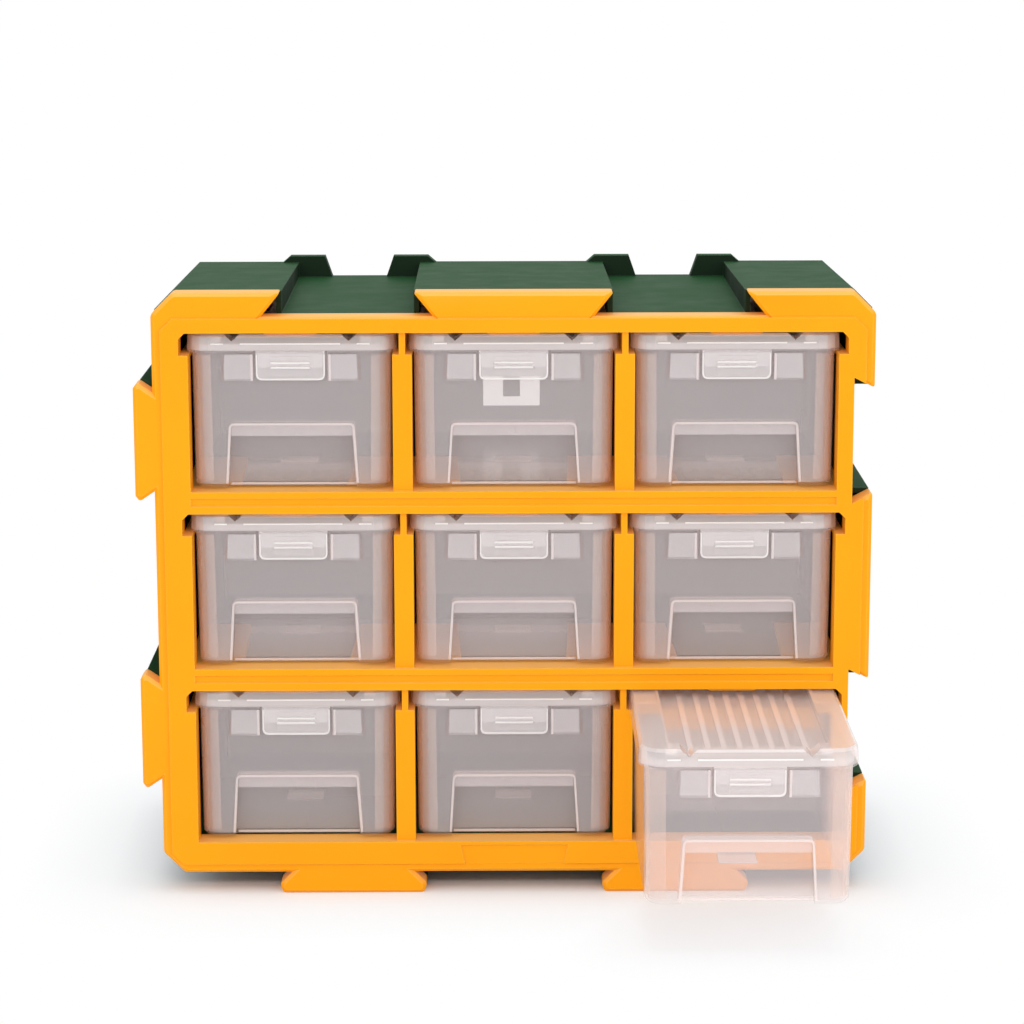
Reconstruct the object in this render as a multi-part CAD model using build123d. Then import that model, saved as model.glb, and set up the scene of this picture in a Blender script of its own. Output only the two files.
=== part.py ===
"""Stackable parts cabinet: a moulded green housing, an orange front frame with nine cells,
and nine clear snap-lid boxes that slide in the cells as drawers.

Millimetres, Z up, the front faces -Y. The origin is on the floor, under the middle of the cabinet.
"""

import os
from math import cos, radians, sin, tan

from build123d import *

# Cabinet
columns = 3
rows = 3
column_pitch = 92.8
cell_height = 67.0
bar_height = 9.4
top_bar = 16.7
bottom_bar = 13.8
stile_width = 15.2
post_width = 8.1
web_thickness = 2.6
cabinet_depth = 138.0
frame_depth = 12.0
frame_corner = 9.0
frame_edge_chamfer = 1.4
ring_margin = 3.8
ring_height_margin = 10.7
ring_corner = 5.0
ring_relief = 0.8
post_setback = 2.0
notch_step = 3.9
notch_chamfer = 2.6
slide_clearance = 0.3

# Dovetails on the foot side and the left side, and the grooves that take them
foot_pitch = 138.2
foot_height = 9.4
foot_neck = 52.5
foot_tip = 63.2
foot_sole = 60.6
foot_tip_drop = 5.4
tongue_pitch = 125.0
tongue_height = 8.1
tongue_neck = 41.8
tongue_tip = 50.4
tongue_sole = 45.6
tongue_tip_reach = 6.4
dovetail_slack = 0.3
mouth_slack = 1.3
groove_floor_gap = 0.6

# Housing
housing_wall = 2.2
housing_step = 0.5
housing_corner = 7.6
housing_draft = 3.2
rail_draft = 3.0
stop_thickness = 6.0
stop_gap = 11.9
stop_slope = 3.7
hanger_width = 26.0
hanger_height = 14.0
hanger_drop = 70.6
hanger_tongue_width = 7.8
hanger_tongue_length = 9.4

# Rack behind the frame: rails, dividers and shelves
rack_depth = 69.0
rail_thickness = 2.0
shelf_thickness = 2.2
shelf_band = 4.0
shelf_slot_front = 44.8
shelf_slot_rear = 49.2
cross_slack = 0.15

# Catch tab under each bar, which stops the drawer on its lid
tab_top = 23.8
tab_bottom = 19.0
tab_drop = 1.9
tab_setback = 5.0
tab_thickness = 3.0

# Relief of the bars and the bare badge recess
channel_drop = 2.8
channel_height = 3.2
channel_depth = 0.8
badge_top = 46.0
badge_bottom = 41.0
badge_margin = 1.6
badge_depth = 0.6

# Drawer: a box, a lid and a latch
drawer_setback = 2.5
drawer_depth = 130.0
drawer_top_gap = 0.6
drawer_bottom_gap = 1.0
rim_seat = 1.6
rim_height = 8.4
rim_corner = 10.0
rim_overhang = 2.2
rim_draft = 3.0
rim_foot_chamfer = 0.6
corner_flats = 4
box_wall = 1.4
box_floor = 1.5
box_draft = 0.5
box_foot_chamfer = 1.6
flange_thickness = 1.4
inner_lip = 2.4
pull_ceiling = 26.2
pull_depth = 6.0
pull_top = 50.2
pull_bottom = 53.6
pull_lip = 4.2
pull_corner = 1.2
guard_width = 14.5
guard_top_width = 12.6
guard_height = 11.4
guard_reach = 1.9
guard_knee = 0.85
guard_knee_reach = 1.5
mark_width = 16.4
mark_length = 14.0
mark_height = 0.4
mark_setback = 52.0

lid_wall = 1.2
skirt_slack = 0.4
lid_edge_chamfer = 1.2
field_half = 32.0
field_front = 10.0
field_rear = 14.0
field_depth = 3.4
lid_bead_depth = 1.8
lid_bead_drop = 0.25
lid_dip = 1.6
lid_dip_half = 24.3
notch_width = 7.0
notch_depth = 3.05
rib_count = 6
rib_pitch = 6.4
rib_width = 2.4
rib_height = 0.8
side_step_setback = 72.0
side_step_depth = 0.5
side_step_margin = 1.6

latch_width = 28.8
latch_length = 11.6
latch_thickness = 1.3
latch_side_gap = 1.0
latch_corner = 2.4
latch_corner_flats = 3
latch_inset = 0.2
knuckle_radius = 0.75
knuckle_gap = 0.2
grip_width = 16.3
grip_height = 5.0
grip_drop = 1.2
grip_reach = 0.35
grip_ridges = 2
grip_ridge_height = 0.9
grip_ridge_pitch = 2.0
grip_ridge_reach = 0.8
catch_height = 2.2
catch_reach = 1.25
catch_slack = 0.4

# Which drawer stands open, and how far
open_row = 3
open_column = 3
open_reach = 93.0

# Worked out from the values above
row_pitch = cell_height + bar_height
body_height = top_bar + rows * cell_height + (rows - 1) * bar_height + bottom_bar
cell_width = column_pitch - post_width
body_half = (columns * column_pitch - post_width) / 2 + stile_width
body_bottom = foot_height
body_top = body_bottom + body_height
front_y = -cabinet_depth / 2
frame_back = front_y + frame_depth
rack_back = frame_back + rack_depth
rear_y = cabinet_depth / 2
groove_depth = foot_height + groove_floor_gap
side_groove_depth = tongue_height + groove_floor_gap
ledge_drop = drawer_top_gap + rim_height + slide_clearance
lid_width = cell_width + 2 * rim_seat
box_width = lid_width - 2 * rim_overhang
box_depth = drawer_depth - 2 * rim_overhang
box_corner = rim_corner - rim_overhang
side_levels = [body_bottom + (body_height + side * tongue_pitch) / 2 for side in (1, -1)]
foot_places = [-foot_pitch / 2, foot_pitch / 2]
box_height = cell_height - drawer_top_gap - drawer_bottom_gap - rim_height
lid_low = box_height + flange_thickness
lid_high = box_height + rim_height
wall_top = lid_low + inner_lip
knuckle_y = latch_inset + latch_thickness / 2
knuckle_level = lid_low - knuckle_gap - knuckle_radius
latch_low = knuckle_level - latch_length
grip_high = box_height - grip_drop
catch_low = grip_high - grip_height - catch_slack - catch_height


def block(x0, x1, y0, y1, z0, z1):
    """A box between two corners."""
    return Pos((x0 + x1) / 2, (y0 + y1) / 2, (z0 + z1) / 2) * Box(x1 - x0, y1 - y0, z1 - z0)


def front_face(points, y):
    """A flat face seen from the front, at depth y. Points are (x, z)."""
    return Plane.XZ.offset(-y) * Polygon(*points, align=None)


def front_prism(points, y0, y1):
    """A prism that runs from front to back. Points are (x, z)."""
    return extrude(front_face(points, y0), amount=y1 - y0, dir=(0, 1, 0))


def column_centre(column):
    return (column - (columns + 1) / 2) * column_pitch


def cell_top(row):
    return body_top - top_bar - (row - 1) * row_pitch


def cell_bottom(row):
    return cell_top(row) - cell_height


def mirrored(profile):
    """Both halves of a symmetric profile, from its (half width, reach) pairs, in order across."""
    left = [(-half, reach) for half, reach in profile]
    right = [(half, reach) for half, reach in reversed(profile)]
    return left + right


def dovetail(neck, tip, sole, tip_reach, reach):
    return mirrored([(neck / 2, 0), (tip / 2, tip_reach), (sole / 2, reach)])


def frame_groove(neck, tip, tip_reach, depth):
    """A groove that takes a dovetail, with mouth_slack at its mouth and dovetail_slack at the tips."""
    mouth = neck / 2 + mouth_slack
    base = mouth + (tip / 2 + dovetail_slack - mouth) * depth / tip_reach
    return mirrored([(mouth, 0), (base, depth)])


def cabinet_outline(half, top, bottom, corner, grooves, side_grooves, feet, tongues):
    """The outline of the cabinet seen from the front, clockwise from its top left corner."""
    points = [(-half, top - corner), (-half + corner, top)]
    for place in foot_places:
        points += [(place + across, top - depth) for across, depth in grooves]
    points += [(half - corner, top), (half, top - corner)]
    for level in side_levels:
        points += [(half - depth, level - across) for across, depth in side_grooves]
    points += [(half, bottom + corner), (half - corner, bottom)]
    for place in reversed(foot_places):
        points += [(place - across, bottom - reach) for across, reach in feet]
    points += [(-half + corner, bottom), (-half, bottom + corner)]
    for level in reversed(side_levels):
        points += [(-half - reach, level + across) for across, reach in tongues]
    return points


def cell_outline(column, row):
    """The open shape of one cell: wide above its ledges for the lid, narrower below them."""
    centre, top, bottom = column_centre(column), cell_top(row), cell_bottom(row)
    ledge = top - ledge_drop
    low = cell_width / 2
    left_wide = notch_step if column == 1 else (post_width - web_thickness) / 2
    right_wide = notch_step if column == columns else (post_width - web_thickness) / 2
    left_cut = notch_chamfer if column == 1 else 0
    right_cut = notch_chamfer if column == columns else 0
    points = [(-low, bottom), (-low, ledge), (-low - left_wide, ledge), (-low - left_wide, top - left_cut)]
    if left_cut:
        points.append((-low - left_wide + left_cut, top))
    if right_cut:
        points.append((low + right_wide - right_cut, top))
    points += [(low + right_wide, top - right_cut), (low + right_wide, ledge), (low, ledge), (low, bottom)]
    return [(centre + x, z) for x, z in points]


def make_front_frame():
    """The orange moulding: face with its raised ring, cells, dovetails, catch tabs and side rails."""
    outline = cabinet_outline(
        body_half, body_top, body_bottom, frame_corner,
        frame_groove(foot_neck, foot_tip, foot_tip_drop, groove_depth),
        frame_groove(tongue_neck, tongue_tip, tongue_tip_reach, side_groove_depth),
        dovetail(foot_neck, foot_tip, foot_sole, foot_tip_drop, foot_height),
        dovetail(tongue_neck, tongue_tip, tongue_sole, tongue_tip_reach, tongue_height),
    )
    plate_front = front_y + ring_relief
    plate = front_prism(outline, plate_front, frame_back)
    rim = plate.edges().filter_by(lambda edge: abs(edge.center().Y - plate_front) < ring_relief / 2)
    plate = chamfer(rim, frame_edge_chamfer)

    ring_half, ring_top = body_half - ring_margin, body_top - ring_height_margin
    ring_bottom = body_bottom + ring_margin
    ring = [
        (-ring_half, ring_top - ring_corner), (-ring_half + ring_corner, ring_top),
        (ring_half - ring_corner, ring_top), (ring_half, ring_top - ring_corner),
        (ring_half, ring_bottom + ring_corner), (ring_half - ring_corner, ring_bottom),
        (-ring_half + ring_corner, ring_bottom), (-ring_half, ring_bottom + ring_corner),
    ]
    grooved = front_prism(outline, front_y, frame_back)
    frame = plate + (front_prism(ring, front_y, plate_front) & grooved)

    for row in range(1, rows + 1):
        for column in range(1, columns + 1):
            frame -= front_prism(cell_outline(column, row), front_y, frame_back)
    for row in range(1, rows + 1):
        for post in range(1, columns):
            centre = column_centre(post) + column_pitch / 2
            frame -= block(
                centre - post_width / 2, centre + post_width / 2, front_y, front_y + post_setback,
                cell_bottom(row), cell_top(row),
            )
    frame -= bar_channels()
    frame -= badge_recess()
    frame += catch_tabs()
    frame += side_rails()
    return frame


def bar_channels():
    """The shallow channel along the front of each bar between two rows."""
    half = body_half - stile_width
    cuts = []
    for row in range(1, rows):
        top = cell_bottom(row) - channel_drop
        cuts.append(block(-half, half, front_y, front_y + channel_depth, top - channel_height, top))
    return cuts


def badge_recess():
    """The bare recess in the bottom bar."""
    high = body_bottom + bottom_bar - badge_margin
    low = body_bottom + badge_margin
    outline = [
        (-badge_top / 2, high), (badge_top / 2, high), (badge_bottom / 2, low), (-badge_bottom / 2, low),
    ]
    return front_prism(outline, front_y, front_y + badge_depth)


def catch_tabs():
    """A low tab under each bar. The rear edge of the lid meets it when the drawer is right out."""
    tabs = []
    for row in range(1, rows + 1):
        for column in range(1, columns + 1):
            centre, high = column_centre(column), cell_top(row)
            low = high - tab_drop
            outline = [
                (centre - tab_top / 2, high), (centre + tab_top / 2, high),
                (centre + tab_bottom / 2, low), (centre - tab_bottom / 2, low),
            ]
            y0 = front_y + tab_setback
            tabs.append(front_prism(outline, y0, y0 + tab_thickness))
    return tabs


def side_rails():
    """The outer ledges of the outer columns, which run back from the frame."""
    rails = []
    outer = body_half - stile_width + notch_step
    inner = body_half - stile_width
    for row in range(1, rows + 1):
        ledge = cell_top(row) - ledge_drop
        rails.append(block(-outer, -inner, frame_back, rack_back, ledge - rail_thickness, ledge))
        rails.append(block(inner, outer, frame_back, rack_back, ledge - rail_thickness, ledge))
    return rails


def housing_outline(draft, shrink, inset):
    """The outline of the housing at one depth: draft lowers its top, shrink narrows its rails."""
    groove_wall = foot_neck / 2 + mouth_slack + inset
    side_wall = tongue_neck / 2 + mouth_slack + inset
    thinner = shrink + 2 * inset
    return cabinet_outline(
        body_half - housing_step - inset,
        body_top - housing_step - draft - inset,
        body_bottom + inset,
        housing_corner,
        mirrored([(groove_wall, 0), (groove_wall, groove_depth - housing_step - draft)]),
        mirrored([(side_wall, 0), (side_wall, side_groove_depth - housing_step)]),
        dovetail(foot_neck - thinner, foot_tip - thinner, foot_sole - thinner, foot_tip_drop, foot_height),
        dovetail(
            tongue_neck - thinner, tongue_tip - thinner, tongue_sole - thinner,
            tongue_tip_reach, tongue_height - housing_step,
        ),
    )


def housing_solid(inset, back):
    """The housing's form from the frame back to a given depth, smaller all round by an inset."""
    share = (back - frame_back) / (rear_y - frame_back)
    front = front_face(housing_outline(0, 0, inset), frame_back)
    rear = front_face(housing_outline(housing_draft * share, rail_draft * share, inset), back)
    return loft([front, rear], ruled=True)


def make_rear_housing():
    """The green shell: drafted from its open front to its closed back, with the stops and the hanger."""
    shell = housing_solid(0, rear_y) - housing_solid(housing_wall, rear_y - housing_wall)
    shell += groove_stops()
    return shell - hanger_hole()


def groove_stops():
    """Two stops close the back of each top groove but for a gap, and stop a unit slid in from the front."""
    high = body_top - housing_step
    low = body_top - groove_depth - housing_wall / 2
    outer = foot_neck / 2 + mouth_slack + stop_slope
    stops = []
    for place in foot_places:
        for side in (-1, 1):
            outline = [
                (place + side * (outer + stop_slope), low),
                (place + side * (outer + stop_slope), body_top - housing_step - housing_draft),
                (place + side * outer, high),
                (place + side * (stop_gap + stop_slope), high),
                (place + side * stop_gap, low),
            ]
            stops.append(front_prism(outline, rear_y - stop_thickness, rear_y))
    return stops


def hanger_hole():
    """The hole in the back that hangs the cabinet, with its downward tongue."""
    low = body_top - hanger_drop
    high = low + hanger_height
    hole = block(-hanger_width / 2, hanger_width / 2, rear_y - 2 * housing_wall, rear_y, low, high)
    tongue = block(
        -hanger_tongue_width / 2, hanger_tongue_width / 2, rear_y - 2 * housing_wall, rear_y,
        high - hanger_tongue_length, high,
    )
    return hole - tongue


def make_divider(post):
    """An upright web behind a row of posts, with a ledge on each side for every row of lids."""
    centre = column_centre(post) + column_pitch / 2
    web_half = web_thickness / 2
    web = block(centre - web_half, centre + web_half, frame_back, rack_back, cell_bottom(rows), cell_top(1))
    half = post_width / 2
    for row in range(1, rows + 1):
        high = cell_top(row) - ledge_drop
        web += block(centre - half, centre + half, frame_back, rack_back, high - rail_thickness, high)
    slit_front = (frame_back + rack_back) / 2 - cross_slack
    for row in range(1, rows):
        high = cell_bottom(row) + cross_slack
        low = cell_bottom(row) - shelf_thickness - cross_slack
        web -= block(centre - web_half, centre + web_half, slit_front, rack_back, low, high)
    return web


def make_shelf(row):
    """A shelf under one row: strips beside the dividers, joined behind the bar, a slot in each cell."""
    top = cell_bottom(row)
    half = body_half - stile_width + notch_step
    shelf = block(-half, half, frame_back, rack_back, top - shelf_thickness, top)
    for column in range(1, columns + 1):
        centre, start = column_centre(column), frame_back + shelf_band
        slot = Polygon(
            (centre - shelf_slot_front / 2, start),
            (centre + shelf_slot_front / 2, start),
            (centre + shelf_slot_rear / 2, rack_back),
            (centre - shelf_slot_rear / 2, rack_back),
            align=None,
        )
        shelf -= extrude(Pos(0, 0, top - shelf_thickness) * slot, amount=shelf_thickness)
    middle = (frame_back + rack_back) / 2
    for post in range(1, columns):
        centre = column_centre(post) + column_pitch / 2
        slit = web_thickness / 2 + cross_slack
        shelf -= block(centre - slit, centre + slit, frame_back, middle, top - shelf_thickness, top)
    return shelf


def arc_points(middle_x, middle_y, radius, quarter, flats):
    """A quarter turn about a middle, as flats. Quarter 0 runs from +X to +Y, quarter 1 from +Y to -X."""
    turns = [radians(90 * (quarter + step / flats)) for step in range(flats + 1)]
    return [(middle_x + radius * cos(turn), middle_y + radius * sin(turn)) for turn in turns]


def rounded(width, depth, corner, z):
    """A rounded rectangle on the level z, its middle at the middle of the drawer."""
    across, along = width / 2 - corner, depth / 2 - corner
    points = []
    for quarter, (side, end) in enumerate([(1, 1), (-1, 1), (-1, -1), (1, -1)]):
        points += arc_points(side * across, end * along, corner, quarter, corner_flats)
    return Pos(0, drawer_depth / 2, z) * Polygon(*points, align=None)


def pull_outline(grow):
    """The finger pull seen from the front, with its sides leaning out downwards."""
    top, bottom = pull_top / 2 + grow, pull_bottom / 2 + grow
    high = pull_ceiling + grow
    outline = Polygon((-bottom, 0), (bottom, 0), (top, high), (-top, high), align=None)
    upper = outline.vertices().group_by(Axis.Y)[-1]
    return fillet(upper, pull_corner + grow)


def make_box():
    """The clear box: drafted walls, a flange under the lid, the finger pull, the guards and the catch."""
    outer = extrude(rounded(box_width, box_depth, box_corner, wall_top), amount=-wall_top, taper=box_draft)
    outer = chamfer(outer.faces().sort_by(Axis.Z)[0].edges(), box_foot_chamfer)
    cavity = extrude(
        rounded(box_width - 2 * box_wall, box_depth - 2 * box_wall, box_corner - box_wall, wall_top),
        amount=-(wall_top - box_floor), taper=box_draft,
    )
    pocket_back = rim_overhang + pull_depth
    bulge_back = pocket_back + box_wall
    bulge = extrude(Plane.XZ * pull_outline(box_wall), amount=bulge_back, dir=(0, 1, 0))
    box = outer - (cavity - bulge)

    wall_lean = (wall_top - pull_ceiling) * tan(radians(box_draft))
    lip_back = rim_overhang + wall_lean + box_wall
    lip_half = pull_bottom / 2
    lip = block(-lip_half, lip_half, 0, lip_back, pull_ceiling - pull_lip, pull_ceiling)
    pocket = extrude(Plane.XZ * pull_outline(0), amount=pocket_back, dir=(0, 1, 0))
    box -= pocket - lip
    return box + [flange(), guard(1), guard(-1), latch_catch(), floor_mark()]


def flange():
    """The collar that the lid sits on and the box hangs by, open where the latch passes."""
    ring = extrude(rounded(lid_width, drawer_depth, rim_corner, box_height), amount=flange_thickness)
    ring = chamfer(ring.faces().sort_by(Axis.Z)[0].edges(), rim_foot_chamfer)
    inner = rounded(box_width - box_wall, box_depth - box_wall, box_corner - box_wall / 2, box_height)
    ring -= extrude(inner, amount=flange_thickness)
    bay = latch_width / 2 + latch_side_gap
    return ring - block(-bay, bay, 0, rim_overhang, box_height, lid_low)


def guard(side):
    """A bulge beside the latch that keeps it from being caught."""
    inner = latch_width / 2 + latch_side_gap
    outer = inner + guard_width
    knee = inner + guard_width * guard_knee
    root = rim_overhang + box_wall / 2
    plan = Polygon(
        (side * inner, root), (side * inner, rim_overhang - guard_reach),
        (side * knee, rim_overhang - guard_knee_reach), (side * outer, root), align=None,
    )
    low = box_height - guard_height
    bulge = extrude(Pos(0, 0, low) * plan, amount=guard_height, dir=(0, 0, 1))
    outline = [
        (side * inner, low), (side * outer, low), (side * (inner + guard_top_width), box_height),
        (side * inner, box_height),
    ]
    return bulge & front_prism(outline, 0, root)


def latch_catch():
    """The ridge on the front wall that the latch snaps over."""
    half = grip_width / 2 - catch_slack
    root = rim_overhang + box_wall / 2
    crest = rim_overhang - catch_reach
    return block(-half, half, crest, root, catch_low, catch_low + catch_height)


def floor_mark():
    """The blank pad on the floor of the box."""
    start = mark_setback - drawer_setback
    half = mark_width / 2
    return block(-half, half, start, start + mark_length, box_floor / 2, box_floor + mark_height)


def make_lid():
    """The clear lid: a skirt on the flange, a sunk field with ribs, and a dipped front with two notches."""
    outline = rounded(lid_width, drawer_depth, rim_corner, lid_low)
    cap = extrude(outline, amount=lid_high - lid_low, taper=rim_draft)
    cap = chamfer(cap.faces().sort_by(Axis.Z)[-1].edges(), lid_edge_chamfer)
    skirt = rim_overhang - skirt_slack
    hollow = extrude(
        rounded(lid_width - 2 * skirt, drawer_depth - 2 * skirt, rim_corner - skirt, lid_low),
        amount=lid_high - lid_wall - lid_low,
    )
    field_end = drawer_depth - field_rear
    field_floor = lid_high - field_depth
    tray_half = field_half + lid_wall
    tray = block(
        -tray_half, tray_half, field_front - lid_wall, field_end + lid_wall,
        field_floor - lid_wall, lid_high,
    )
    brow_half = lid_dip_half + notch_width / 2 + lid_wall
    brow = block(-brow_half, brow_half, 0, field_front, lid_high - notch_depth - lid_wall, lid_high)
    lid = cap - (hollow - tray - brow)
    lid -= block(-field_half, field_half, field_front, field_end, field_floor, lid_high)
    lid -= [front_dip(), front_notch(1), front_notch(-1), side_step(1), side_step(-1)]

    gutter = lid_dip_half - rib_width / 2
    middles = [(index - (rib_count - 1) / 2) * rib_pitch for index in range(rib_count)]
    for middle in middles + [-gutter, gutter]:
        x0 = middle - rib_width / 2
        lid += block(x0, x0 + rib_width, field_front, field_end, field_floor, field_floor + rib_height)
    return lid


def front_dip():
    """Behind a bead, the middle of the front edge dips, so that the catch tab passes over it."""
    level, bead = lid_high - lid_dip, lid_high - lid_bead_drop
    profile = Polygon(
        (0, lid_high), (0, bead), (lid_bead_depth, bead), (lid_bead_depth, level), (field_front, level),
        (field_front, lid_high), align=None,
    )
    return extrude(Plane.YZ.offset(-lid_dip_half) * profile, amount=2 * lid_dip_half, dir=(1, 0, 0))


def front_notch(side):
    """A V-shaped notch across the front edge, at one end of the dip."""
    place = side * lid_dip_half
    half = notch_width / 2
    outline = [(place - half, lid_high), (place + half, lid_high), (place, lid_high - notch_depth)]
    return front_prism(outline, 0, field_front)


def side_step(side):
    """The low step along the rear of the lid's side strip."""
    inner = side * (field_half + lid_wall)
    outer = side * (lid_width / 2 - side_step_margin)
    x0, x1 = sorted((inner, outer))
    return block(
        x0, x1, side_step_setback, drawer_depth - field_rear, lid_high - side_step_depth, lid_high,
    )


def make_latch():
    """The latch: a plate with a knuckle at its top, a grip bar, and a pocket that snaps on the catch."""
    half = latch_width / 2
    corner_x, corner_z = half - latch_corner, latch_low + latch_corner
    outline = [(half, knuckle_level), (-half, knuckle_level)]
    outline += arc_points(-corner_x, corner_z, latch_corner, 2, latch_corner_flats)
    outline += arc_points(corner_x, corner_z, latch_corner, 3, latch_corner_flats)
    plate = front_prism(outline, latch_inset, latch_inset + latch_thickness)
    knuckle = Pos(0, knuckle_y, knuckle_level) * Rot(0, 90, 0) * Cylinder(knuckle_radius, latch_width)
    grip_half = grip_width / 2
    grip_low = grip_high - grip_height
    grip = block(-grip_half, grip_half, latch_inset - grip_reach, latch_inset, grip_low, grip_high)
    for ridge in range(grip_ridges):
        low = grip_low + ridge * grip_ridge_pitch
        front = latch_inset - grip_ridge_reach
        grip += block(-grip_half, grip_half, front, latch_inset, low, low + grip_ridge_height)
    pocket = block(
        -grip_half, grip_half, rim_overhang - catch_reach - catch_slack / 2, latch_inset + latch_thickness,
        catch_low - catch_slack, catch_low + catch_height + catch_slack,
    )
    return plate + knuckle + grip - pocket


def drawer_place(row, column):
    """Where the drawer of one cell stands: its front edge, its middle and its underside."""
    reach = open_reach if (row, column) == (open_row, open_column) else 0
    front = front_y + drawer_setback - reach
    return Pos(column_centre(column), front, cell_bottom(row) + drawer_bottom_gap)


os.makedirs("parts", exist_ok=True)
export_step(make_front_frame(), "parts/front_frame.step")
export_step(make_rear_housing(), "parts/rear_housing.step")
for post in range(1, columns):
    export_step(make_divider(post), f"parts/divider_{post}.step")
for row in range(1, rows):
    export_step(make_shelf(row), f"parts/shelf_{row}.step")

box, lid, latch = make_box(), make_lid(), make_latch()
for row in range(1, rows + 1):
    for column in range(1, columns + 1):
        place = drawer_place(row, column)
        export_step(place * box, f"parts/drawer_box_r{row}c{column}.step")
        export_step(place * lid, f"parts/drawer_lid_r{row}c{column}.step")
        export_step(place * latch, f"parts/drawer_latch_r{row}c{column}.step")

travel = drawer_setback + drawer_depth - field_rear - tab_setback - tab_thickness - slide_clearance
print("drawer travel", travel, "of which the open drawer has used", open_reach)
print("latch axis of a closed drawer", front_y + drawer_setback + knuckle_y, "level", knuckle_level)
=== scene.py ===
from math import radians

import bpy
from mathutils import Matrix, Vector


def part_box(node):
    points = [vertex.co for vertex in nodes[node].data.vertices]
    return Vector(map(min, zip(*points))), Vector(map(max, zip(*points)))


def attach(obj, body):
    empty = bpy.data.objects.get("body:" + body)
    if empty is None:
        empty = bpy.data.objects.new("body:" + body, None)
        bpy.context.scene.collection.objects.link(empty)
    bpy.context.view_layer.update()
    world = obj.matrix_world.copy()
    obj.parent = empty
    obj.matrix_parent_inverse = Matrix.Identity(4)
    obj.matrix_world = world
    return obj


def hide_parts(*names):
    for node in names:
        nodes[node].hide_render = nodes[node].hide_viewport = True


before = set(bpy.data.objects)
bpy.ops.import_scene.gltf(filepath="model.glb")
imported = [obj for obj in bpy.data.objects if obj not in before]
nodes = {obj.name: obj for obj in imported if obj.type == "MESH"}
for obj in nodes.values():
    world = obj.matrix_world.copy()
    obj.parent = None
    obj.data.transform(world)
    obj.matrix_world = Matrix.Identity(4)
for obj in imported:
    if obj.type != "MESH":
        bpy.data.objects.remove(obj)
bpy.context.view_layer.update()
bpy.ops.object.select_all(action="DESELECT")


# Front frame, with its dividers and shelves.
# One moulding of orange polypropylene with a satin finish, and the rails behind it of the same plastic.
# Its edges are slightly rounded by the tool, and the paler lines that the light would pick out there are
# painted in as a highlight.

def new_material(name):
    """A material with its shader, ready for more nodes."""
    material = bpy.data.materials.new(name)
    material.use_nodes = True
    return material, material.node_tree.nodes, material.node_tree.links


def add_noise(tree_nodes, links, place, scale, detail):
    """Cloudy noise that stays put on the piece."""
    noise = tree_nodes.new("ShaderNodeTexNoise")
    noise.inputs["Scale"].default_value = scale
    noise.inputs["Detail"].default_value = detail
    links.new(place.outputs["Object"], noise.inputs["Vector"])
    return noise


def add_range(tree_nodes, links, source, low, high, start=0.3, stop=0.7):
    """Turns a value between start and stop into one between low and high."""
    spread = tree_nodes.new("ShaderNodeMapRange")
    spread.inputs["From Min"].default_value = start
    spread.inputs["From Max"].default_value = stop
    spread.inputs["To Min"].default_value = low
    spread.inputs["To Max"].default_value = high
    links.new(source, spread.inputs["Value"])
    return spread.outputs["Result"]


def add_blend(tree_nodes, links, share, first, second):
    """Mixes two colours. Each is a colour, or an output of another node."""
    mix = tree_nodes.new("ShaderNodeMix")
    mix.data_type = "RGBA"
    links.new(share, mix.inputs["Factor"])
    for socket, value in ((mix.inputs[6], first), (mix.inputs[7], second)):
        if isinstance(value, bpy.types.NodeSocket):
            links.new(value, socket)
        else:
            socket.default_value = (*value, 1)
    return mix.outputs[2]


def solid_plastic(name, colour, flow_colour, edge_light_colour, top_light_colour, roughness, grain_depth, edge_radius):
    """Coloured moulded plastic: faint flow marks, a fine spark-eroded grain and a painted highlight along
    its rounded edges.
    Its level faces are painted paler, as painted light falling from above.
    """
    material, tree_nodes, links = new_material(name)
    shader = tree_nodes["Principled BSDF"]
    place = tree_nodes.new("ShaderNodeTexCoord")
    flow = add_noise(tree_nodes, links, place, scale=14, detail=2)
    flow_share = add_range(tree_nodes, links, flow.outputs["Fac"], low=0, high=1)
    body_colour = add_blend(tree_nodes, links, flow_share, colour, flow_colour)

    rounding = tree_nodes.new("ShaderNodeBevel")
    rounding.samples = 4
    rounding.inputs["Radius"].default_value = edge_radius
    surface = tree_nodes.new("ShaderNodeNewGeometry")
    flatness = tree_nodes.new("ShaderNodeVectorMath")
    flatness.operation = "DOT_PRODUCT"
    links.new(rounding.outputs["Normal"], flatness.inputs[0])
    links.new(surface.outputs["Normal"], flatness.inputs[1])
    # Painted light: faces that look upwards take the paler top light colour.
    upward = tree_nodes.new("ShaderNodeSeparateXYZ")
    links.new(surface.outputs["Normal"], upward.inputs[0])
    level_share = add_range(tree_nodes, links, upward.outputs["Z"], low=0, high=1, start=0.25, stop=0.85)
    body_colour = add_blend(tree_nodes, links, level_share, body_colour, top_light_colour)
    # Painted highlight: near a rounded edge the colour turns to the paler edge light colour.
    flat = flatness.outputs["Value"]
    edge_highlight_share = add_range(tree_nodes, links, flat, low=1, high=0, start=0.86, stop=0.995)
    body_colour = add_blend(tree_nodes, links, edge_highlight_share, body_colour, edge_light_colour)
    links.new(body_colour, shader.inputs["Base Color"])

    shader.inputs["Specular IOR Level"].default_value = 0.15
    cloud = add_noise(tree_nodes, links, place, scale=70, detail=3)
    cloudy = add_range(tree_nodes, links, cloud.outputs["Fac"], low=roughness - 0.04, high=roughness + 0.05)
    links.new(cloudy, shader.inputs["Roughness"])
    grain = add_noise(tree_nodes, links, place, scale=1400, detail=2)
    bump = tree_nodes.new("ShaderNodeBump")
    bump.inputs["Strength"].default_value = 0.5
    bump.inputs["Distance"].default_value = grain_depth
    links.new(grain.outputs["Fac"], bump.inputs["Height"])
    links.new(rounding.outputs["Normal"], bump.inputs["Normal"])
    links.new(bump.outputs["Normal"], shader.inputs["Normal"])
    return material


def dress(node, material):
    """Gives a CAD node its finish."""
    nodes[node].data.materials.clear()
    nodes[node].data.materials.append(material)


# Its top light colour paints light from above on level faces, and its edge light colour paints a highlight
# along rounded edges.
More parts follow.
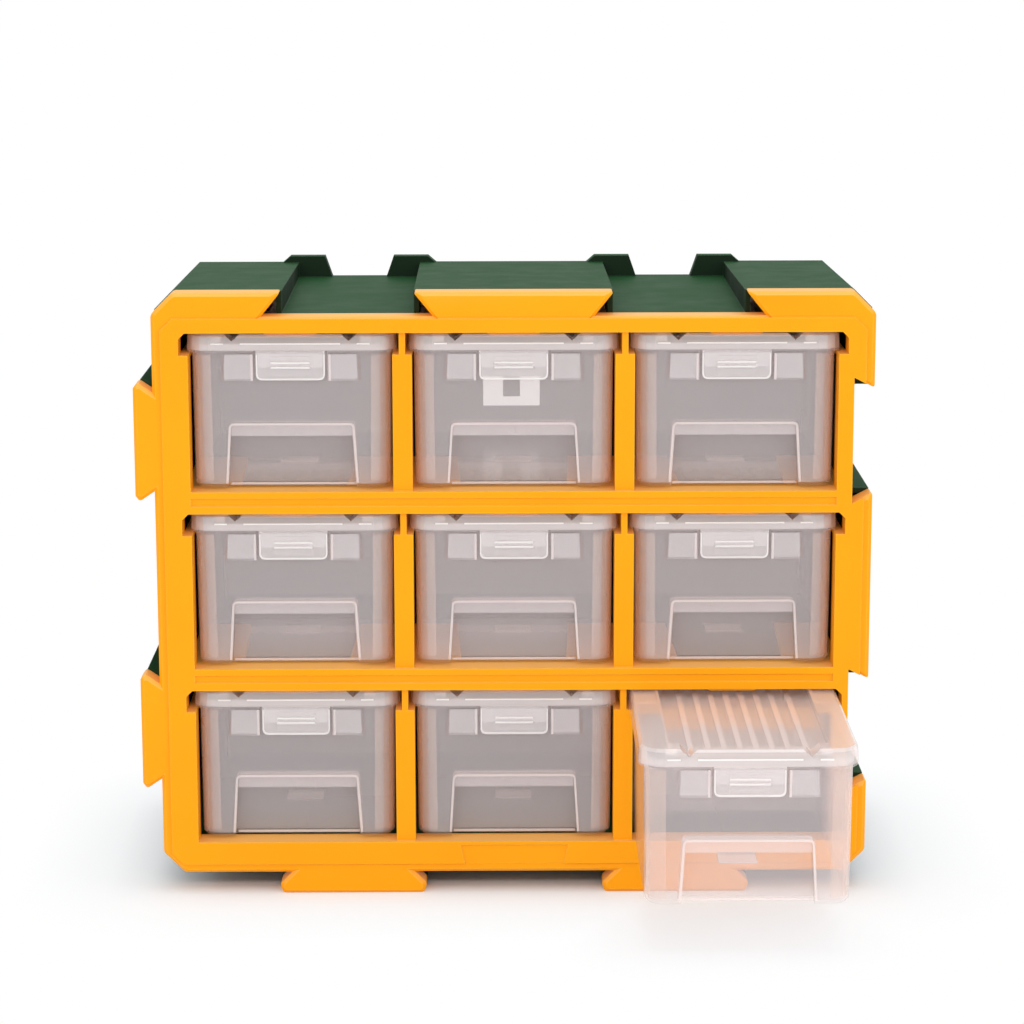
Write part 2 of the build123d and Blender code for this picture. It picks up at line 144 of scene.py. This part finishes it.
orange_plastic = solid_plastic(
    "orange_plastic",
    colour=(0.97, 0.350, 0.002), flow_colour=(0.98, 0.372, 0.003),
    edge_light_colour=(1.0, 0.56, 0.050), top_light_colour=(0.98, 0.50, 0.12),
    roughness=0.40, grain_depth=0.00002, edge_radius=0.0006,
)
for node in ("front_frame", "divider_1", "divider_2", "shelf_1", "shelf_2"):
    dress(node, orange_plastic)


# Rounded corners of the front frame.
# The tool leaves the outward corners of the moulding's outline a little round, also the tips of its feet
# and side tongues and the lips of its grooves. They are bevelled on a copy that stands for the node.

frame_low, frame_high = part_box("front_frame")
tongue_sole, side_face = frame_low.x, frame_high.x
front_face, bevel_back, rim_back = -0.0682, -0.0668, -0.0570
top_groove_floor, side_groove_floor, underside = 0.2497, 0.14165, 0.0094
bevel_reach = 0.0030
feet_reach = 0.12
tongues_from, tongues_to = 0.03, 0.24
corner_rounding = 0.0011


def pick(piece, kind, test):
    """Opens a piece for editing with only those of its vertices, edges or polygons that pass a test."""
    bpy.context.view_layer.objects.active = piece
    bpy.ops.object.mode_set(mode="EDIT")
    bpy.ops.mesh.select_mode(type={"vertices": "VERT", "edges": "EDGE", "polygons": "FACE"}[kind])
    bpy.ops.mesh.select_all(action="DESELECT")
    bpy.ops.object.mode_set(mode="OBJECT")
    points = piece.data.vertices
    for element in getattr(piece.data, kind):
        if kind == "vertices":
            element.select = test(element.co)
        elif kind == "edges":
            element.select = test(*(points[index].co for index in element.vertices))
        else:
            element.select = test(element.center, element.normal)
    bpy.ops.object.mode_set(mode="EDIT")


def same(first, second):
    """Whether two places are the same within a tenth of a millimetre."""
    return abs(first - second) < 0.0001


def at_outer_corner(first, second):
    """Whether an edge runs back from the front at an outward corner of the outline. Inward corners stay
    sharp, such as the necks of the feet and of the side tongues, and so do the soles of the tongues.
    """
    if first.y > second.y:
        first, second = second, first
    aside = max(abs(first.x - second.x), abs(first.z - second.z))
    along_rim = same(first.y, bevel_back) and same(second.y, rim_back) and same(aside, 0)
    along_bevel = same(first.y, front_face) and same(second.y, bevel_back) and aside < bevel_reach
    left_sharp = (
        same(second.z, top_groove_floor)
        or same(second.x, side_groove_floor)
        or same(second.x, tongue_sole)
        or same(second.z, underside) and abs(second.x) < feet_reach
        or same(second.x, -side_face) and tongues_from < second.z < tongues_to
    )
    return (along_rim or along_bevel) and not left_sharp


rounded_frame = nodes["front_frame"].copy()
rounded_frame.data = nodes["front_frame"].data.copy()
rounded_frame.name = "rounded_frame"
rounded_frame.data.name = "rounded_frame"
bpy.context.scene.collection.objects.link(rounded_frame)
rounded_frame.select_set(True)
pick(rounded_frame, "polygons", lambda centre, normal: True)
bpy.ops.mesh.remove_doubles(threshold=0.000002)
bpy.ops.mesh.dissolve_limited(angle_limit=radians(0.5))
bpy.ops.object.mode_set(mode="OBJECT")
pick(rounded_frame, "edges", at_outer_corner)
bpy.ops.mesh.bevel(offset=corner_rounding, segments=4, affect="EDGES")
bpy.ops.object.mode_set(mode="OBJECT")
bpy.ops.mesh.customdata_custom_splitnormals_clear()
bpy.ops.object.shade_smooth_by_angle(angle=radians(25))
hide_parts("front_frame")
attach(rounded_frame, "cabinet")


# Rear housing.
# One shell of dark green polypropylene, drafted towards its closed back, with a fine matt grain.
# It is pushed over the rear of the front frame and closes the cabinet.

# Its top light colour paints light falling on its level faces, and its edge light colour a highlight along
# its edges.
green_plastic = solid_plastic(
    "green_plastic",
    colour=(0.006, 0.019, 0.007), flow_colour=(0.007, 0.022, 0.008),
    edge_light_colour=(0.030, 0.080, 0.036), top_light_colour=(0.013, 0.070, 0.020),
    roughness=0.60, grain_depth=0.00004, edge_radius=0.0006,
)
dress("rear_housing", green_plastic)


# Drawers: nine boxes, each with its lid and its latch.
# Frosted natural polypropylene, thin and see-through, whiter where a wall is seen along its length.
# The lid snaps on the flange of the box, and the latch hangs from its knuckle under the lid.

def add_math(tree_nodes, links, operation, first, second=None):
    """The result of one sum. First is an output of another node. Second is one too, a number or nothing."""
    math = tree_nodes.new("ShaderNodeMath")
    math.operation = operation
    links.new(first, math.inputs[0])
    if isinstance(second, bpy.types.NodeSocket):
        links.new(second, math.inputs[1])
    elif second is not None:
        math.inputs[1].default_value = second
    return math.outputs[0]


def mix_shaders(tree_nodes, links, share, first, second):
    """Mixes two shaders. The share is that of the second one."""
    mix = tree_nodes.new("ShaderNodeMixShader")
    links.new(share, mix.inputs["Fac"])
    links.new(first, mix.inputs[1])
    links.new(second, mix.inputs[2])
    return mix.outputs["Shader"]


def clear_plastic(name, colour, edge_light_colour, thin, thick, level, roughness, gloss_index=1.45):
    """Milky see-through plastic. Thin is how much an upright face hides, thick is the same seen edge on,
    and level is how much a level face hides. Edge on, it takes the edge light colour, a painted tint for the
    light that the wall carries along.
    Most of the light that the milk stops is scattered forward, so the lamps shine on through it. Only its
    outer face mirrors, because a ray that leaves the plastic at a low slant would be thrown back whole.
    """
    material, tree_nodes, links = new_material(name)
    shader = tree_nodes["Principled BSDF"]
    place = tree_nodes.new("ShaderNodeTexCoord")
    shader.inputs["IOR"].default_value = 1.49
    shader.inputs["Specular IOR Level"].default_value = 0.2
    cloud = add_noise(tree_nodes, links, place, scale=45, detail=2)
    cloudy = add_range(tree_nodes, links, cloud.outputs["Fac"], low=roughness - 0.04, high=roughness + 0.06)
    links.new(cloudy, shader.inputs["Roughness"])

    slant_power = 2.2
    slant = tree_nodes.new("ShaderNodeLayerWeight")
    slant.inputs["Blend"].default_value = 0.5
    steep = add_math(tree_nodes, links, "POWER", slant.outputs["Facing"], slant_power)
    # Painted light: seen edge on, the colour turns to the edge light colour, a tint for light carried along
    # the wall.
    body_colour = add_blend(tree_nodes, links, steep, colour, edge_light_colour)
    links.new(body_colour, shader.inputs["Base Color"])
    through = tree_nodes.new("ShaderNodeBsdfTranslucent")
    links.new(body_colour, through.inputs["Color"])
    through_share = add_range(tree_nodes, links, steep, low=0.06, high=0.5, start=0, stop=1)
    milk = mix_shaders(tree_nodes, links, through_share, shader.outputs["BSDF"], through.outputs["BSDF"])

    surface = tree_nodes.new("ShaderNodeNewGeometry")
    upward = tree_nodes.new("ShaderNodeSeparateXYZ")
    links.new(surface.outputs["Normal"], upward.inputs[0])
    either_way = add_math(tree_nodes, links, "ABSOLUTE", upward.outputs["Z"])
    cover = tree_nodes.new("ShaderNodeMix")
    level_share = add_range(tree_nodes, links, either_way, low=0, high=1, start=0.5, stop=0.9)
    upright_cover = add_range(tree_nodes, links, steep, low=thin, high=thick, start=0, stop=1)
    links.new(level_share, cover.inputs["Factor"])
    links.new(upright_cover, cover.inputs["A"])
    cover.inputs["B"].default_value = level
    paths = tree_nodes.new("ShaderNodeLightPath")
    from_lamp = paths.outputs["Is Shadow Ray"]
    lamp_share = add_range(tree_nodes, links, from_lamp, low=1, high=0.2, start=0, stop=1)
    stopped = add_math(tree_nodes, links, "MULTIPLY", cover.outputs["Result"], lamp_share)
    clear = tree_nodes.new("ShaderNodeBsdfTransparent")
    clear.inputs["Color"].default_value = (0.98, 0.97, 0.965, 1)
    film = mix_shaders(tree_nodes, links, stopped, clear.outputs["BSDF"], milk)

    gloss = tree_nodes.new("ShaderNodeBsdfGlossy")
    gloss.inputs["Roughness"].default_value = roughness / 2
    mirror = tree_nodes.new("ShaderNodeFresnel")
    mirror.inputs["IOR"].default_value = gloss_index
    outer_face = add_range(tree_nodes, links, surface.outputs["Backfacing"], low=1, high=0, start=0, stop=1)
    mirror_share = add_math(tree_nodes, links, "MULTIPLY", mirror.outputs["Fac"], lamp_share)
    mirror_share = add_math(tree_nodes, links, "MULTIPLY", mirror_share, outer_face)
    finish = mix_shaders(tree_nodes, links, mirror_share, film, gloss.outputs["BSDF"])
    links.new(finish, tree_nodes["Material Output"].inputs["Surface"])
    return material


# Its peach edge light colour paints the orange light that the walls of the box carry from the frame.
box_plastic = clear_plastic(
    "box_plastic", colour=(1.0, 0.92, 0.93), edge_light_colour=(1.0, 0.83, 0.76),
    thin=0.20, thick=0.50, level=0.03, roughness=0.26, gloss_index=1.3,
)
lid_plastic = clear_plastic(
    "lid_plastic", colour=(1.0, 0.95, 0.94), edge_light_colour=(1.0, 0.90, 0.87),
    thin=0.30, thick=0.64, level=0.45, roughness=0.18,
)
latch_plastic = clear_plastic(
    "latch_plastic", colour=(1.0, 0.96, 0.96), edge_light_colour=(1.0, 0.98, 0.97),
    thin=0.24, thick=0.85, level=0.40, roughness=0.22,
)
cells = [f"r{row}c{column}" for row in (1, 2, 3) for column in (1, 2, 3)]
for cell in cells:
    dress(f"drawer_box_{cell}", box_plastic)
    dress(f"drawer_lid_{cell}", lid_plastic)
    dress(f"drawer_latch_{cell}", latch_plastic)


# Whiter lines of the box and the lid.
# Where a wall is seen along its length the milky plastic looks whiter: round the finger pull, on the sill,
# beside the guards, on the floor's pad and in the lid's ribs. Each is a thin core, moulded with the wall.

line_plastic = clear_plastic(
    "line_plastic", colour=(1.0, 0.93, 0.91), edge_light_colour=(1.0, 0.93, 0.91),
    thin=0.42, thick=0.70, level=0.62, roughness=0.20,
)
# A face looks along an axis when its normal has at least this share of it.
mostly = 0.9


def add_block(name, low, high):
    """A block between two corners, in metres, to be shaped further."""
    bpy.ops.object.select_all(action="DESELECT")
    bpy.ops.mesh.primitive_cube_add(size=1, location=[(a + b) / 2 for a, b in zip(low, high)])
    piece = bpy.context.object
    piece.name = name
    piece.scale = [b - a for a, b in zip(low, high)]
    bpy.ops.object.transform_apply(location=True, rotation=True, scale=True)
    return piece


def runs_along(axis, first, second):
    """Whether an edge has length along an axis, which is more than a rounding error."""
    return abs(first[axis] - second[axis]) > 0.00001


def add_core(name, low, high, rounding):
    """A slim core inside a clear wall, all its edges rounded."""
    piece = add_block(name, low, high)
    pick(piece, "edges", lambda first, second: True)
    bpy.ops.mesh.bevel(offset=rounding, segments=2, affect="EDGES")
    bpy.ops.object.mode_set(mode="OBJECT")
    return piece


def lean_out(piece, side, below, reach):
    """Pushes one side of a piece outwards below a level."""
    middle = sum(corner[0] for corner in piece.bound_box) / 8
    pick(piece, "vertices", lambda co: co.z < below and side * (co.x - middle) > 0)
    bpy.ops.transform.translate(value=(side * reach, 0, 0))
    bpy.ops.object.mode_set(mode="OBJECT")


def add_bent_strip(name, low, high, lean, bend_at_top, corner, thickness):
    """A strip bent round three sides of a block, its sides leant out at the foot, its two bends rounded."""
    piece = add_block(name, low, high)
    middle_z = (low[2] + high[2]) / 2
    open_way = -1 if bend_at_top else 1
    for side in (-1, 1):
        lean_out(piece, side, middle_z, lean)

    def bent(first, second):
        return runs_along(1, first, second) and (first.z > middle_z) == bend_at_top

    def left_open(centre, normal):
        return abs(normal.y) > mostly or normal.z * open_way > mostly

    pick(piece, "edges", bent)
    bpy.ops.mesh.bevel(offset=corner, segments=3, affect="EDGES")
    bpy.ops.object.mode_set(mode="OBJECT")
    pick(piece, "polygons", left_open)
    bpy.ops.mesh.delete(type="FACE")
    bpy.ops.object.mode_set(mode="OBJECT")
    sheet = piece.modifiers.new("sheet", "SOLIDIFY")
    sheet.thickness = thickness
    sheet.offset = 0
    sheet.use_even_offset = True
    bpy.ops.object.modifier_apply(modifier="sheet")
    return piece


def join(name, pieces, material):
    """Makes one piece of several and gives it its finish."""
    bpy.ops.object.select_all(action="DESELECT")
    for piece in pieces:
        piece.select_set(True)
    bpy.context.view_layer.objects.active = pieces[0]
    if len(pieces) > 1:
        bpy.ops.object.join()
    piece = bpy.context.object
    piece.name = name
    piece.data.name = name
    piece.data.materials.clear()
    piece.data.materials.append(material)
    bpy.ops.object.shade_smooth_by_angle(angle=radians(40))
    return piece


def copy_at(model, name, place, body):
    """A copy of a modelled piece with a mesh of its own, set in its place on its body."""
    piece = model.copy()
    piece.data = model.data.copy()
    piece.name = name
    piece.data.name = name
    bpy.context.scene.collection.objects.link(piece)
    bpy.ops.object.select_all(action="DESELECT")
    piece.select_set(True)
    bpy.context.view_layer.objects.active = piece
    piece.location = place
    bpy.ops.object.transform_apply(location=True, rotation=False, scale=False)
    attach(piece, body)


def copy_to_cells(model, carrier):
    """Copies a modelled piece to the drawer or the latch of every cell, and takes the model away."""
    for cell in cells:
        low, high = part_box(f"drawer_box_{cell}")
        place = ((low.x + high.x) / 2, low.y, low.z)
        copy_at(model, f"{model.name}_{cell}", place, f"{carrier}_{cell}")
    bpy.data.objects.remove(model)


guard_edge, half_edge = 0.0162, 0.0005
rib_places = (-0.0231, -0.0160, -0.0096, -0.0032, 0.0032, 0.0096, 0.0160, 0.0231)
half_rib = 0.0011
pull_line = add_bent_strip(
    "pull_line", (-0.0258, 0.0029, 0.0018), (0.0258, 0.0079, 0.0269),
    lean=0.0016, bend_at_top=True, corner=0.0016, thickness=0.0009,
)
floor_pad = add_core("floor_pad", (-0.0081, 0.0522, 0.0013), (0.0081, 0.0658, 0.0019), rounding=0.0002)
sill_line = add_core("sill_line", (-0.0262, 0.0083, 0.0002), (0.0262, 0.0090, 0.0012), rounding=0.0002)
guard_lines = []
for side in (-1, 1):
    left, right = side * guard_edge - half_edge, side * guard_edge + half_edge
    guard_line = add_core("guard_line", (left, 0.0009, 0.0455), (right, 0.0020, 0.0566), rounding=0.0003)
    guard_lines.append(guard_line)
lid_rib_lines = []
for rib_place in rib_places:
    left, right = rib_place - half_rib, rib_place + half_rib
    rib_line = add_core("lid_rib_line", (left, 0.0102, 0.0621), (right, 0.1158, 0.0627), rounding=0.0002)
    lid_rib_lines.append(rib_line)
drawer_lines = [pull_line, sill_line, floor_pad, *guard_lines, *lid_rib_lines]
copy_to_cells(join("drawer_lines", drawer_lines, line_plastic), "drawer")


# Upright front corners of the box.
# The wall turns there and passes on light from the orange frame beside it; that warm light is painted in, as
# a peach-coloured core.
# Each is a thin bent core inside the wall, which leans in downwards with it.

corner_light_plastic = clear_plastic(
    "corner_light_plastic", colour=(1.0, 0.80, 0.70), edge_light_colour=(1.0, 0.68, 0.46),
    thin=0.15, thick=0.45, level=0.20, roughness=0.30,
)
core_inner, core_outer = 0.0334, 0.0410
core_lean, core_radius, core_thickness = 0.0005, 0.0070, 0.0005
half_way_up, front_part, outer_part = 0.03, 0.006, 0.037


def add_corner_core(side):
    """The core of the corner on one side. Its bend is rounded, and only the two walls beside it are kept."""
    left, right = sorted((side * core_inner, side * core_outer))
    piece = add_block("corner_core", (left, 0.0029, 0.0030), (right, 0.0106, 0.0562))
    pick(piece, "vertices", lambda co: co.z < half_way_up)
    bpy.ops.transform.translate(value=(-side * core_lean, core_lean, 0))
    bpy.ops.object.mode_set(mode="OBJECT")

    def at_corner(first, second):
        upright = runs_along(2, first, second)
        return upright and first.y < front_part and side * first.x > outer_part

    def left_open(centre, normal):
        return normal.y > mostly or side * normal.x < -mostly or abs(normal.z) > mostly

    pick(piece, "edges", at_corner)
    bpy.ops.mesh.bevel(offset=core_radius, segments=5, affect="EDGES")
    bpy.ops.object.mode_set(mode="OBJECT")
    pick(piece, "polygons", left_open)
    bpy.ops.mesh.delete(type="FACE")
    bpy.ops.object.mode_set(mode="OBJECT")
    wall = piece.modifiers.new("wall", "SOLIDIFY")
    wall.thickness = core_thickness
    wall.offset = 0
    bpy.ops.object.modifier_apply(modifier="wall")
    return piece


corner_cores = [add_corner_core(side) for side in (-1, 1)]
copy_to_cells(join("corner_cores", corner_cores, corner_light_plastic), "drawer")


# Front bead of the lid.
# The front edge of each lid carries a rounded bead between its two notches and a short one outside each.
# It is solid plastic with a gloss that takes the light, and its near-white milk paints in the rest of the
# bright highlight line.

bead_highlight_plastic = clear_plastic(
    "bead_highlight_plastic", colour=(1.0, 0.99, 0.98), edge_light_colour=(1.0, 0.99, 0.98),
    thin=0.55, thick=0.80, level=0.7, roughness=0.16,
)
bead_rounding = 0.00028


def add_bead(name, start, end):
    """A rounded bead along the front of the lid."""
    piece = add_block(name, (start, -0.0001, 0.0609), (end, 0.0008, 0.0615))
    pick(piece, "edges", lambda first, second: runs_along(0, first, second))
    bpy.ops.mesh.bevel(offset=bead_rounding, segments=4, affect="EDGES")
    bpy.ops.object.mode_set(mode="OBJECT")
    return piece


beads = [
    add_bead("middle_bead", -0.0208, 0.0208),
    add_bead("left_bead", -0.0330, -0.0277),
    add_bead("right_bead", 0.0277, 0.0330),
]
copy_to_cells(join("lid_bead", beads, bead_highlight_plastic), "drawer")


# Panels of the guards and of the latch.
# The guards that bulge beside the latch and the latch's own plate are thicker than the wall around them,
# so they look paler. Each is a thin sheet inside its moulding.

panel_plastic = clear_plastic(
    "panel_plastic", colour=(0.98, 0.95, 0.97), edge_light_colour=(0.98, 0.95, 0.97),
    thin=0.20, thick=0.40, level=0.20, roughness=0.30,
)
guard_middle, half_guard, guard_foot = 0.0219, 0.0055, 0.0500
latch_foot = 0.0540


def round_corners(piece, below, radius):
    """Rounds the corners of an upright panel that lie below a level."""
    pick(piece, "edges", lambda first, second: runs_along(1, first, second) and first.z < below)
    bpy.ops.mesh.bevel(offset=radius, segments=3, affect="EDGES")
    bpy.ops.object.mode_set(mode="OBJECT")


guard_panels = []
for side in (-1, 1):
    left, right = side * guard_middle - half_guard, side * guard_middle + half_guard
    guard_panel = add_block("guard_panel", (left, 0.0011, 0.0462), (right, 0.0016, 0.0566))
    lean_out(guard_panel, side, below=guard_foot, reach=0.0005)
    round_corners(guard_panel, below=guard_foot, radius=0.0006)
    guard_panels.append(guard_panel)
copy_to_cells(join("guard_panels", guard_panels, panel_plastic), "drawer")
latch_panel = add_block("latch_panel", (-0.0136, 0.0005, 0.0512), (0.0136, 0.0009, 0.0570))
round_corners(latch_panel, below=latch_foot, radius=0.0010)
copy_to_cells(join("latch_panel", [latch_panel], panel_plastic), "latch")


# Outline and grip of the latch.
# The rim round three sides of the latch and the two ridges of its grip are solid plastic, and their
# near-white milk paints in the highlight that they catch, as on the bead of the lid. They are moulded with
# the latch and turn with it.

grip_levels = (0.0509, 0.0529)
grip_height = 0.0006
latch_rim = add_bent_strip(
    "latch_line", (-0.0140, 0.0004, 0.0463), (0.0140, 0.0013, 0.0566),
    lean=0, bend_at_top=False, corner=0.0020, thickness=0.0005,
)
grip_lines = []
for level in grip_levels:
    top = level + grip_height
    grip_line = add_core("grip_line", (-0.0080, -0.0004, level), (0.0080, 0.0004, top), rounding=0.0002)
    grip_lines.append(grip_line)
copy_to_cells(join("latch_line", [latch_rim, *grip_lines], bead_highlight_plastic), "latch")


# Floor.
# A plain pale studio sweep. Far from the cabinet it shows plain white. Nearer it that painted white fades
# out, so it only partly lifts the shadow: right under the cabinet the shadow stays whole, under the pulled
# drawer about half of it.

floor_size = 40
white_shares = ((0, 0.0), (0.012, 0.35), (0.03, 0.70), (0.07, 1.0))
bpy.ops.mesh.primitive_plane_add(size=floor_size, location=(0, 0, 0))
floor = bpy.context.object
floor.name = "floor"
floor_material, tree_nodes, links = new_material("floor_paint")
shader = tree_nodes["Principled BSDF"]
shader.inputs["Base Color"].default_value = (0.90, 0.94, 0.97, 1)
shader.inputs["Roughness"].default_value = 0.9


def add_distance(tree_nodes, links, place, middle, half):
    """How far a point of the floor is from a rectangle."""
    steps = (
        ("SUBTRACT", middle),
        ("ABSOLUTE", None),
        ("SUBTRACT", half),
        ("MAXIMUM", (0, 0, 0)),
        ("LENGTH", None),
    )
    value = place.outputs["Object"]
    for operation, amount in steps:
        step = tree_nodes.new("ShaderNodeVectorMath")
        step.operation = operation
        links.new(value, step.inputs[0])
        if amount is not None:
            step.inputs[1].default_value = amount
        value = step.outputs["Value"] if operation == "LENGTH" else step.outputs["Vector"]
    return value


place = tree_nodes.new("ShaderNodeTexCoord")
from_cabinet = add_distance(tree_nodes, links, place, middle=(0, 0.002, 0), half=(0.147, 0.060, 1))
from_drawer = add_distance(tree_nodes, links, place, middle=(0.093, -0.105, 0), half=(0.036, 0.035, 1))
from_drawer = add_range(tree_nodes, links, from_drawer, low=0.02, high=0.10, start=0, stop=0.06)
away = add_math(tree_nodes, links, "MINIMUM", from_cabinet, from_drawer)
far = tree_nodes.new("ShaderNodeValToRGB")
longest = white_shares[-1][0]
for index, (reach, white_share) in enumerate(white_shares):
    if index < 2:
        stop = far.color_ramp.elements[index]
    else:
        stop = far.color_ramp.elements.new(reach / longest)
    stop.position = reach / longest
    stop.color = (white_share, white_share, white_share, 1)
links.new(add_range(tree_nodes, links, away, low=0, high=1, start=0, stop=longest), far.inputs["Fac"])
paths = tree_nodes.new("ShaderNodeLightPath")
seen = add_math(tree_nodes, links, "MAXIMUM", paths.outputs["Is Camera Ray"], paths.outputs["Is Glossy Ray"])
white_part = add_math(tree_nodes, links, "MULTIPLY", far.outputs["Color"], seen)
white = tree_nodes.new("ShaderNodeEmission")
white.inputs["Color"].default_value = (1, 1, 1, 1)
sweep = mix_shaders(tree_nodes, links, white_part, shader.outputs["BSDF"], white.outputs["Emission"])
links.new(sweep, tree_nodes["Material Output"].inputs["Surface"])
floor.data.materials.append(floor_material)


# Light.
# Soft and even: a pale room, a large softbox over the front, one at each side and one above.

room = bpy.data.worlds.new("room")
bpy.context.scene.world = room
room.use_nodes = True
tree_nodes, links = room.node_tree.nodes, room.node_tree.links
background = tree_nodes["Background"]
background.inputs["Color"].default_value = (1, 1, 1, 1)
paths = tree_nodes.new("ShaderNodeLightPath")
straight, passed = paths.outputs["Is Camera Ray"], paths.outputs["Is Transmission Ray"]
seen = add_math(tree_nodes, links, "MAXIMUM", straight, passed)
room_strength = add_range(tree_nodes, links, seen, low=0.78, high=1, start=0, stop=1)
links.new(room_strength, background.inputs["Strength"])


def softbox(name, place, aim, width, height, power):
    """A rectangular lamp at a place, turned towards a point."""
    lamp = bpy.data.lights.new(name, "AREA")
    lamp.shape = "RECTANGLE"
    lamp.size = width
    lamp.size_y = height
    lamp.energy = power
    holder = bpy.data.objects.new(name, lamp)
    bpy.context.scene.collection.objects.link(holder)
    holder.location = place
    holder.rotation_euler = (Vector(aim) - Vector(place)).to_track_quat("-Z", "Y").to_euler()


middle = (0, -0.05, 0.13)
softbox("front_softbox", (0, -1.9, 1.15), middle, width=2.2, height=0.25, power=11)
softbox("left_softbox", (-1.5, -0.9, 0.7), middle, width=0.6, height=1.2, power=3)
softbox("right_softbox", (1.5, -0.9, 0.7), middle, width=0.6, height=1.2, power=5)
softbox("top_softbox", (0, 0.1, 1.6), middle, width=1.4, height=1.2, power=5)


# Camera.
# A long lens in front of the cabinet, a little above it and looking slightly down. Rays may pass through
# many clear walls in a row, so that the drawers stay bright behind each other.

lens = bpy.data.cameras.new("camera")
lens.sensor_width = 36
lens.lens = 107.54
lens.clip_end = 100
camera = bpy.data.objects.new("camera", lens)
bpy.context.scene.collection.objects.link(camera)
camera.location = (-0.0098, -1.3239, 0.4258)
camera.rotation_euler = (radians(78.360), radians(0.098), radians(-0.430))
bpy.context.scene.camera = camera
bpy.context.scene.view_settings.view_transform = "Standard"
bpy.context.scene.cycles.transparent_max_bounces = 32
